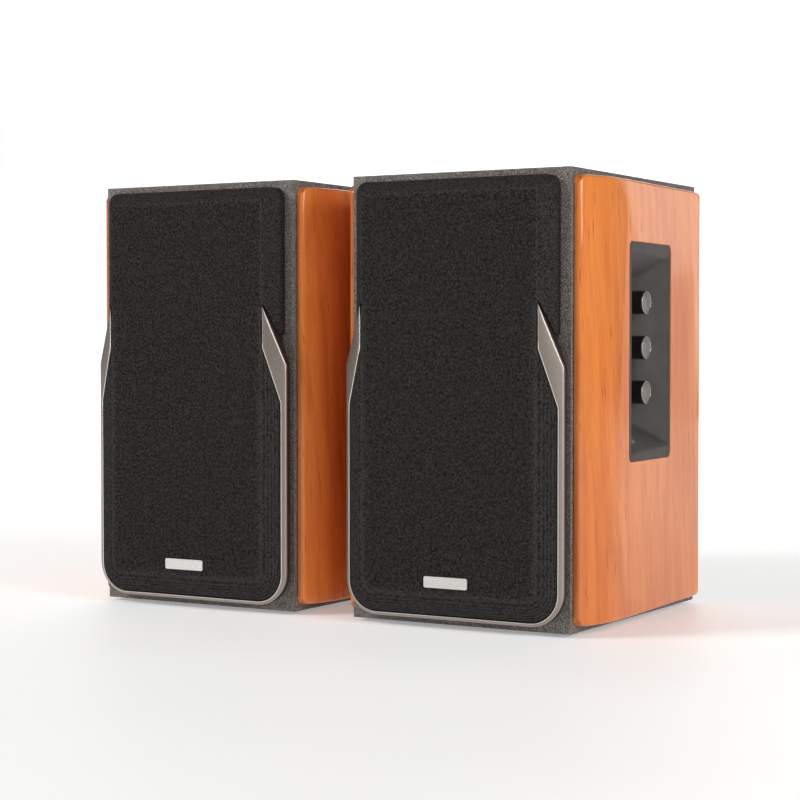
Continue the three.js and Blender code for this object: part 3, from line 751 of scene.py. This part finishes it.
def knob_marks():
    """A plus over each knob and a minus under it, raised on the recess's floor."""
    depth, arm, bar, raised = 68.5, 1.3, 0.22, 0.12
    for name, z in KNOB_HEIGHTS.items():
        for sign, offset in (("plus", 9.6), ("minus", -9.6)):
            bars = [(arm, bar), (bar, arm)] if sign == "plus" else [(arm, bar)]
            points = []
            faces = []
            for half_y, half_z in bars:
                corners = ((-half_y, -half_z), (half_y, -half_z), (half_y, half_z), (-half_y, half_z))
                sections = [
                    [(HALF + RECESS_FLOOR + x, depth + y, z + offset + dz) for y, dz in corners]
                    for x in (-0.05, raised)
                ]
                bar_points, bar_faces = skinned(sections)
                faces += [tuple(len(points) + i for i in face) for face in bar_faces]
                points += bar_points
            mark = mesh_object(f"{name}_{sign}_mark", points, faces, ORIGINS["right"])
            finish_piece(mark, "cabinets", MATERIALS["sensor_window"])


def turn_to_x(points):
    """Points turned about Y, laid over so that their axis is X."""
    return [(y, -x, z) for x, y, z in points]


def knob(name, height):
    """A barrel, a dished face, a rim round it painted bright as a highlight, and a pointer bar on it."""
    centre = ORIGINS["right"] + Vector((HALF + RECESS_FLOOR, KNOB_DEPTH, height)) * MM
    barrel = soften(
        [
            (0.01, 0.12),
            (3, 0.12),
            (3, 0.6),
            (KNOB_RADIUS - 0.2, 0.6),
            (KNOB_RADIUS, 1.4),
            (KNOB_RADIUS, KNOB_HEIGHT - 0.35),
            (KNOB_RADIUS - 0.35, KNOB_HEIGHT),
            (KNOB_RADIUS - 0.75, KNOB_HEIGHT),
            (KNOB_RADIUS - 0.9, KNOB_HEIGHT - 0.5),
            (0.01, KNOB_HEIGHT - 0.5),
        ],
        0.25,
    )
    disc = soften(
        [
            (0.01, KNOB_HEIGHT - 0.48),
            (KNOB_RADIUS - 0.95, KNOB_HEIGHT - 0.48),
            (KNOB_RADIUS - 0.95, KNOB_HEIGHT - 0.18),
            (KNOB_RADIUS - 1.25, KNOB_HEIGHT - 0.05),
            (0.01, KNOB_HEIGHT - 0.22),
        ],
        0.12,
    )
    rim = arc((KNOB_RADIUS - 0.55, KNOB_HEIGHT - 0.02), 0.14, 0, 2 * math.pi, 8)[:-1]
    parts = (
        ("barrel", barrel, "knob_plastic", 50, [name]),
        ("face", disc, "knob_face", 50, ()),
        # The rim takes the brighter copy of the satin metal: a painted highlight.
        ("rim", rim, "painted_highlight_metal", 80, ()),
    )
    for part, profile, material, sharp, stands_for in parts:
        points, faces = lathe(profile, 72)
        piece = mesh_object(f"{name}_{part}", turn_to_x(points), faces, centre, sharp)
        finish_piece(piece, name, MATERIALS[material], stands_for)

    outline = rounded_outline(-0.35, KNOB_RADIUS - 4.2, 0.35, KNOB_RADIUS - 1.4, 0.34, 4)
    heights = (KNOB_HEIGHT - 0.3, KNOB_HEIGHT - 0.03)
    points, faces = skinned([[(x, y, z) for y, z in outline] for x in heights])
    pointer = mesh_object(f"{name}_pointer", points, faces, centre)
    finish_piece(pointer, name, MATERIALS["knob_plastic"])


# ---- Grille ----


def lower_rise(x, z):
    """The rise of the shallow bevels that carry the trim; they have no top edge."""
    inside = inside_distance(x, z, LOWER_HALF, LOWER_BOTTOM, math.inf, LOWER_CORNER)
    slope = (FACE_RISE - LOWER_RISE) / (LOWER_HALF - FACE_HALF)
    return LOWER_RISE + slope * inside


def upper_rise(x, z):
    """The rise of the steep bevels over the blades; they have no bottom edge."""
    inside = inside_distance(x, z, UPPER_HALF, -math.inf, UPPER_TOP, UPPER_CORNER)
    slope = (FACE_RISE - UPPER_RISE) / (UPPER_HALF - FACE_HALF)
    return UPPER_RISE + slope * inside


def blade_edge(z):
    """Where the blade's outer edge is at a height, from the middle."""
    return FACE_HALF + (BLADE_TIP - z) * (LOWER_HALF - FACE_HALF) / (BLADE_TIP - BLADE_SHOULDER)


def cloth_rise(x, z):
    """How far the cloth stands in front of the cabinet."""
    beyond_blade = z > BLADE_KNEE and abs(x) > FACE_HALF - 2 and abs(x) > blade_edge(z)
    rise = upper_rise(x, z) if beyond_blade or z > BLADE_TIP else lower_rise(x, z)
    return soft_min([FACE_RISE, rise], 0.8)


def lower_corner(half, bottom, radius, steps):
    """A round corner from the right side down to the bottom edge."""
    return arc((half - radius, bottom + radius), radius, 0, -math.pi / 2, steps)


def cloth_outline():
    """The cloth's edge seen from the front: round the blades, inside the trim, and the same mirrored."""
    face = FACE_HALF - GROOVE
    side = TRIM_INNER - GROOVE
    lean = (BLADE_TIP - BLADE_SHOULDER) / (LOWER_HALF - FACE_HALF)
    hidden_from = BLADE_TIP - (UPPER_HALF - FACE_HALF) * lean
    corner_middle = (UPPER_HALF - UPPER_CORNER, UPPER_TOP - UPPER_CORNER)
    right = arc(corner_middle, UPPER_CORNER, math.pi / 2, 0, 8) + [
        (UPPER_HALF, hidden_from + 2.2),
        (FACE_HALF + 0.25, BLADE_TIP + 1.8),
        (face, BLADE_TIP + 1.0),
        (face, BLADE_KNEE),
        (side, BLADE_FOOT),
    ]
    right += lower_corner(side, TRIM_BOTTOM + GROOVE, TRIM_CORNER - GROOVE, 10)
    return right + [(-x, z) for x, z in reversed(right)]


def turned_back(point, last):
    """Where the cloth's edge goes as it turns back: to the cabinet if it can be seen, else a little."""
    x, y, z = point
    exposed = z > BLADE_TIP or (abs(x) > FACE_HALF and z > BLADE_KNEE)
    if last and exposed:
        return (x, -0.7, z)
    return (x, y + (1.2 if last else 0.6), z)


def grille_cloth(prefix):
    """The cloth as one stretched sheet: a triangulated front, and an edge that turns back."""
    step = 1.6
    outline = subdivided(cloth_outline(), step)
    count = len(outline)
    spread = [
        (-LOWER_HALF + step * i, step * (j + i % 2 / 2))
        for i in range(round(2 * LOWER_HALF / step))
        for j in range(round(UPPER_TOP / step))
    ]
    corners = [Vector(p) for p in outline + spread]
    edges = [(i, (i + 1) % count) for i in range(count)]
    found, _, triangles, *_ = delaunay_2d_cdt(corners, edges, [list(range(count))], 1, 1e-5)
    used = sorted({i for triangle in triangles for i in triangle})
    order = {old: new for new, old in enumerate(used)}
    points = [(found[i].x, -cloth_rise(found[i].x, found[i].y), found[i].y) for i in used]
    faces = [tuple(order[i] for i in triangle) for triangle in triangles]
    rings = [[order[i] for i in range(count)]]
    for last in (False, True):
        rings.append(list(range(len(points), len(points) + count)))
        points += [turned_back(points[index], last) for index in rings[0]]
    for before, after in zip(rings, rings[1:]):
        faces += [(before[i], before[j], after[j], after[i]) for i, j in edges]
    cloth = mesh_object(f"{prefix}_grille_fabric", points, faces, ORIGINS[prefix], 70)
    thickness = cloth.modifiers.new("thickness", "SOLIDIFY")
    thickness.thickness = 0.5 * MM
    thickness.offset = -1
    applied(cloth)
    body, stands_for = f"{prefix}_grille", [f"{prefix}_grille_cloth"]
    finish_piece(cloth, body, MATERIALS["grille_fabric"], stands_for)
    return cloth


def trim_stations():
    """Pairs of inner and outer edge points down the right half of the trim, as ((x, z), (x, z))."""
    pairs = []
    heights = [BLADE_TIP - 0.6 - 4 * i for i in range(6)] + [BLADE_KNEE]
    heights += [BLADE_SHOULDER + offset for offset in (6, 3, 0, -4)]
    heights += [BLADE_FOOT - 6 * i for i in range(-2, 17)]
    for z in heights:
        inner = FACE_HALF
        if z < BLADE_KNEE:
            share = min(1, (BLADE_KNEE - z) / (BLADE_KNEE - BLADE_FOOT))
            inner += share * (TRIM_INNER - FACE_HALF)
        pairs.append(((inner, z), (min(blade_edge(z), LOWER_HALF), z)))
    inner_arc = lower_corner(TRIM_INNER, TRIM_BOTTOM, TRIM_CORNER, 12)
    outer_arc = lower_corner(LOWER_HALF, LOWER_BOTTOM, LOWER_CORNER, 12)
    pairs += list(zip(inner_arc, outer_arc))
    inner_x, outer_x = inner_arc[-1][0], outer_arc[-1][0]
    for share in (0.75, 0.5, 0.25, 0.0):
        pairs.append(((share * inner_x, TRIM_BOTTOM), (share * outer_x, LOWER_BOTTOM)))
    return pairs


def trim_section(inner, outer):
    """The section from the inner edge to the outer one, as (x, y, z) points round its outline."""
    inner, outer = Vector(inner), Vector(outer)
    width = (outer - inner).length
    across = (outer - inner).normalized()
    scale = min(1, width / 3)

    def at(offset, sink, from_outer=False):
        flat = outer - across * offset * scale if from_outer else inner + across * offset * scale
        return (flat.x, -(lower_rise(flat.x, flat.y) - sink * scale), flat.y)

    def back(offset):
        flat = outer - across * offset * scale
        return (flat.x, -LOWER_BACK, flat.y)

    return [
        at(0, 1.4),
        at(0, 0.42),
        at(0.12, 0.2),
        at(0.5, 0),
        at(0.8, 0, True),
        at(0.35, 0.15, True),
        at(0.08, 0.5, True),
        at(0, 1.1, True),
        back(0),
        back(1.0),
        at(1.0, 1.4, True),
    ]


def grille_trim(prefix):
    """The metal band from one blade's tip round the bottom to the other's, with a painted highlight on its
    inner edge: a brighter copy of the satin metal.
    """
    right = trim_stations()
    left = [((-a[0], a[1]), (-b[0], b[1])) for a, b in reversed(right[:-1])]
    sections = [trim_section(inner, outer) for inner, outer in right + left]
    size = len(sections[0])
    points, faces = skinned(sections)
    trim = mesh_object(f"{prefix}_grille_band", points, faces, ORIGINS[prefix], 24)
    body = f"{prefix}_grille"
    finish_piece(trim, body, MATERIALS["satin_trim"], [f"{prefix}_grille_trim"])
    # The inner bevel's strips get the brighter copy of the satin metal as a painted highlight; the side and
    # back strips are black.
    trim.data.materials.append(MATERIALS["painted_highlight_metal"])
    trim.data.materials.append(MATERIALS["black_plastic"])
    painted_highlight_strips, black_strips = (1, 2), (7, 8, 9)
    for polygon in trim.data.polygons:
        places = sorted({index % size for index in polygon.vertices})
        if len(polygon.vertices) == 4 and places[-1] == places[0] + 1:
            if places[0] in painted_highlight_strips:
                polygon.material_index = 1
            elif places[0] in black_strips:
                polygon.material_index = 2


# ---- Drivers and port ----


def driver_piece(prefix, name, profile, z, body, slot, node=None, material=None):
    """A turned piece at a height; node is the CAD node that it stands for."""
    points, faces = lathe(profile, 72)
    centre = ORIGINS[prefix] + Vector((0, 0, z)) * MM
    obj = mesh_object(f"{prefix}_{name}", points, faces, centre)
    stands_for = [f"{prefix}_{node}"] if node else ()
    finish_piece(obj, body, MATERIALS[material or slot], stands_for)


def dome_profile(radius, depth, height, steps):
    """A dome from its middle to its edge, as (radius, depth)."""
    angles = [math.pi / 2 * i / steps for i in range(steps + 1)]
    return [(max(radius * math.sin(a), 0.01), depth + height * (1 - math.cos(a))) for a in angles]


def screw_head(prefix, name, x, y, z, radius, facing=-1):
    """A pan head with a cross recess, on the front (facing -1) or the back (facing 1)."""
    height = 0.9
    dome = [(0.01, 0), (0.62 * radius, 0.06), (0.92 * radius, 0.4), (radius, height), (0.01, height)]
    points, faces = lathe([(r, -facing * d) for r, d in dome], 24)
    centre = ORIGINS[prefix] + Vector((x, y + facing * height, z)) * MM
    head = mesh_object(name, points, faces, centre, 50)
    finish_piece(head, "cabinets", MATERIALS["screw_steel"])
    arm, width, deep = 0.62 * radius, 0.32, 0.18
    upper = [(arm, width), (width, width), (width, arm), (-width, arm), (-width, width), (-arm, width)]
    cross = upper + [(-u, -w) for u, w in upper]
    points, faces = skinned([[(u, facing * v, w) for u, w in cross] for v in (-deep, 0.06)])
    slot = mesh_object(f"{name}_recess", points, faces, centre)
    finish_piece(slot, "cabinets", MATERIALS["knob_plastic"])


def screw_ring(prefix, part, middle, radius, count, start, head):
    """Screws spaced evenly round a driver's rim, the first at the angle start."""
    for index in range(count):
        angle = start + index * 2 * math.pi / count
        x, z = radius * math.cos(angle), middle + radius * math.sin(angle)
        screw_head(prefix, f"{prefix}_{part}_screw_{index}", x, 0.0, z, radius=head)


def surround_profile():
    """A half roll of rubber between two flat lips."""
    roll = arc((43.5, -0.3), 2.3, 0, -math.pi, 10)
    crown = arc((43.5, -1.1), 3.1, -math.pi, 0, 12)
    return [(50, -1.1), (50, -0.3)] + roll + [(37.4, -0.3), (37.4, -1.1)] + crown


def stretched_ring(prefix, name, profile, z, slot, node, sectors=12):
    """A ring turned from a profile, in sectors; on the real driver it is held at its outer edge and its
    inner edge moves with the cone.
    """
    origin = ORIGINS[prefix] + Vector((0, 0, z)) * MM
    for sector in range(sectors):
        start = 2 * math.pi * sector / sectors
        end = 2 * math.pi * (sector + 1) / sectors
        angles = [start + (end - start) * i / 6 for i in range(7)]
        points, faces = skinned([turned(profile, angle) for angle in angles])
        piece = mesh_object(f"{prefix}_{name}_{sector:02d}", points, faces, origin, 50)
        piece.data.materials.append(MATERIALS[slot])
        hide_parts(f"{prefix}_{node}")
        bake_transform(piece)


def woofer(prefix):
    """The paper cone with its coil former, the dust cap, the gasket, the screws and the surround."""
    cone = f"{prefix}_cone"
    paper = [(13.0, 19.85)] + bezier((13.2, 19.7), (20, 15.6), (30, 7.6), (36.6, 0.4), 10)
    paper += [(37, 0), (40.4, 0), (40.4, 0.8), (37.4, 1.0)]
    paper += [(30, 8.4), (20, 16.4), (11.3, 22.9), (11.2, 50), (10.5, 50), (10.5, 21.5)]
    driver_piece(prefix, "woofer_paper", paper, WOOFER_Z, cone, "paper_cone", "woofer_cone")
    dome = dome_profile(13.6, 12.6, 6.195, 10)
    cap = dome + [(13.0, dome[-1][1] + 0.5)] + [(r * 0.93, d + 0.7) for r, d in reversed(dome[:-1])]
    driver_piece(prefix, "woofer_dust_cap", cap, WOOFER_Z, cone, "paper_cone", material="surround_rubber")
    gasket = soften([(51.6, -1.7), (51.6, -0.02), (46.9, -0.02), (46.9, -1.0), (48.2, -1.7)], 0.5)
    driver_piece(prefix, "woofer_gasket", gasket, WOOFER_Z, "cabinets", "surround_rubber")
    screw_ring(prefix, "woofer", WOOFER_Z, 53.0, 6, math.pi / 6, head=1.7)
    stretched_ring(prefix, "woofer_roll", surround_profile(), WOOFER_Z,
                   "surround_rubber", "woofer_surround")


def tweeter(prefix):
    """The faceplate with its shallow horn, the silk dome with its coil, and three screws."""
    angles = [math.pi / 2 * i / 8 for i in range(9)]
    horn = [(20 - 6.6 * math.sin(a), 2.4 * (1 - math.cos(a))) for a in angles]
    plate = soften([(30, 0), (30, 3), (20, 3), (20, 5.7), (17, 5.7), (17, 3), (13.4, 3)], 0.3)
    plate += reversed(horn)
    driver_piece(prefix, "tweeter_horn_plate", plate, TWEETER_Z, "cabinets", "black_plastic",
                 "tweeter_faceplate")
    dome = dome_profile(12.2, -0.4, 4.6, 12)
    dome += [(13.0, 4.0), (14.0, 3.5), (15.2, 4.2), (15.4, 4.7), (12.4, 4.8), (12.4, 8), (11.8, 8)]
    inside = dome_profile(12.2, -0.4, 4.6, 8)[:-1]
    dome += [(11.8, 4.9)] + [(max(r * 0.95, 0.01), d + 0.5) for r, d in reversed(inside)]
    driver_piece(prefix, "tweeter_silk", dome, TWEETER_Z, f"{prefix}_dome", "silk_dome", "tweeter_dome")
    screw_ring(prefix, "tweeter", TWEETER_Z, 26.2, 3, math.pi / 2, head=1.9)


def port(prefix):
    flare = arc((19.0, 4.0), 4.0, -math.pi / 2, -math.pi, 6)
    tube = [(19, 0), (19, 2), (17, 2), (17, 90), (15, 90)] + list(reversed(flare))
    driver_piece(prefix, "port_flare", tube, PORT_Z, "cabinets", "black_plastic", "port_tube")


# ---- Carried-over parts ----

# The material of each kind of CAD node that is shown as it is, and how wide its edges are rounded.
EDGES = {
    "cabinet_shell": ("vinyl", 0.7),
    "baffle_board": ("vinyl", 0.3),
    "back_board": ("vinyl", 0.3),
    "front_foot": ("foot_rubber", 0.5),
    "rear_foot": ("foot_rubber", 0.5),
    "grille_frame": ("black_plastic", 0.25),
    "grille_badge": ("badge_metal", 0.25),
    "woofer_basket": ("black_paint", 0.3),
    "woofer_motor": ("motor_steel", 0.4),
    "woofer_spider": ("spider_cloth", None),
    "tweeter_motor": ("motor_steel", 0.4),
    "speaker_terminal": ("black_plastic", 0.25),
    "red_lever": ("red_plastic", 0.35),
    "black_lever": ("knob_plastic", 0.35),
    "sensor_window": ("sensor_window", 0.25),
    "control_board": ("circuit_board", None),
    "amplifier_board": ("circuit_board", None),
    "transformer": ("transformer_steel", 0.4),
    "rear_plate": ("black_paint", 0.25),
    "input_jacks": ("black_plastic", 0.3),
    "switch_housing": ("black_plastic", 0.3),
    "power_rocker": ("knob_plastic", 0.5),
    "mains_inlet": ("black_plastic", 0.3),
}


def finish_cad_nodes():
    """Gives each CAD node that is still shown its material and its rounded edges."""
    for name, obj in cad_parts.items():
        if obj.hide_render:
            continue
        plain = name.removeprefix("right_").removeprefix("left_")
        material, edge = EDGES[plain]
        obj.data.materials.clear()
        obj.data.materials.append(MATERIALS[material])
        if edge:
            bevel_edges(obj, edge)


# ---- Rear details ----


def jack_details():
    """Coloured collars and gold shells on the input jacks."""
    low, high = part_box("input_jacks")
    centre_x, centre_z = (low.x + high.x) / 2, (low.z + high.z) / 2
    collar = soften([(5.6, -8.2), (5.6, -6.8), (4.25, -6.8), (4.25, -8.2)], 0.3)
    shell = [(4.22, -6.5), (4.42, -6.5), (4.42, -0.1), (3.0, -0.02), (3.0, -0.3), (4.22, -0.5)]
    shell = soften(shell, 0.1)
    for row, column in ((r, c) for r in (-1, 1) for c in (-1, 1)):
        colour = "red_plastic" if column > 0 else "white_plastic"
        place = Vector((centre_x + column * 7 * MM, high.y, centre_z + row * 7 * MM))
        points, faces = lathe(collar, 32)
        name = f"input_jack_{'upper' if row > 0 else 'lower'}_{'right' if column > 0 else 'left'}"
        ring = mesh_object(f"{name}_collar", points, faces, place, 40)
        finish_piece(ring, "cabinets", MATERIALS[colour])
        points, faces = lathe(shell, 32)
        sleeve = mesh_object(f"{name}_sleeve", points, faces, place, 40)
        finish_piece(sleeve, "cabinets", MATERIALS["gold"])


def rear_screws():
    """Screws round the rear plate, and at the corners of both spring terminals."""
    plate_face = DEPTH + 1.8
    for index, (x, z) in enumerate((x, z) for x in (-38.5, 38.5) for z in (42, 93, 144, 194)):
        screw_head("right", f"rear_plate_screw_{index}", x, plate_face, z, radius=2.2, facing=1)
    for prefix, base, level in (("right", DEPTH + 3.4, 122), ("left", DEPTH + 1.6, 120)):
        for index, (x, z) in enumerate((x, z) for x in (-21, 21) for z in (-13.6, 13.6)):
            screw_head(prefix, f"{prefix}_terminal_screw_{index}", x, base, level + z, radius=1.3, facing=1)


# ---- Assembly ----


add_camera()
add_lights()
add_floor()
for prefix, side in SIDES.items():
    wood_panel(prefix, "outer", side, prefix == "right")
    wood_panel(prefix, "inner", -side, False)
    grille_cloth(prefix)
    grille_trim(prefix)
    woofer(prefix)
    tweeter(prefix)
    port(prefix)
recess_edge()
control_tub()
knob_marks()
for knob_name, knob_height in KNOB_HEIGHTS.items():
    knob(knob_name, knob_height)
finish_cad_nodes()
jack_details()
rear_screws()
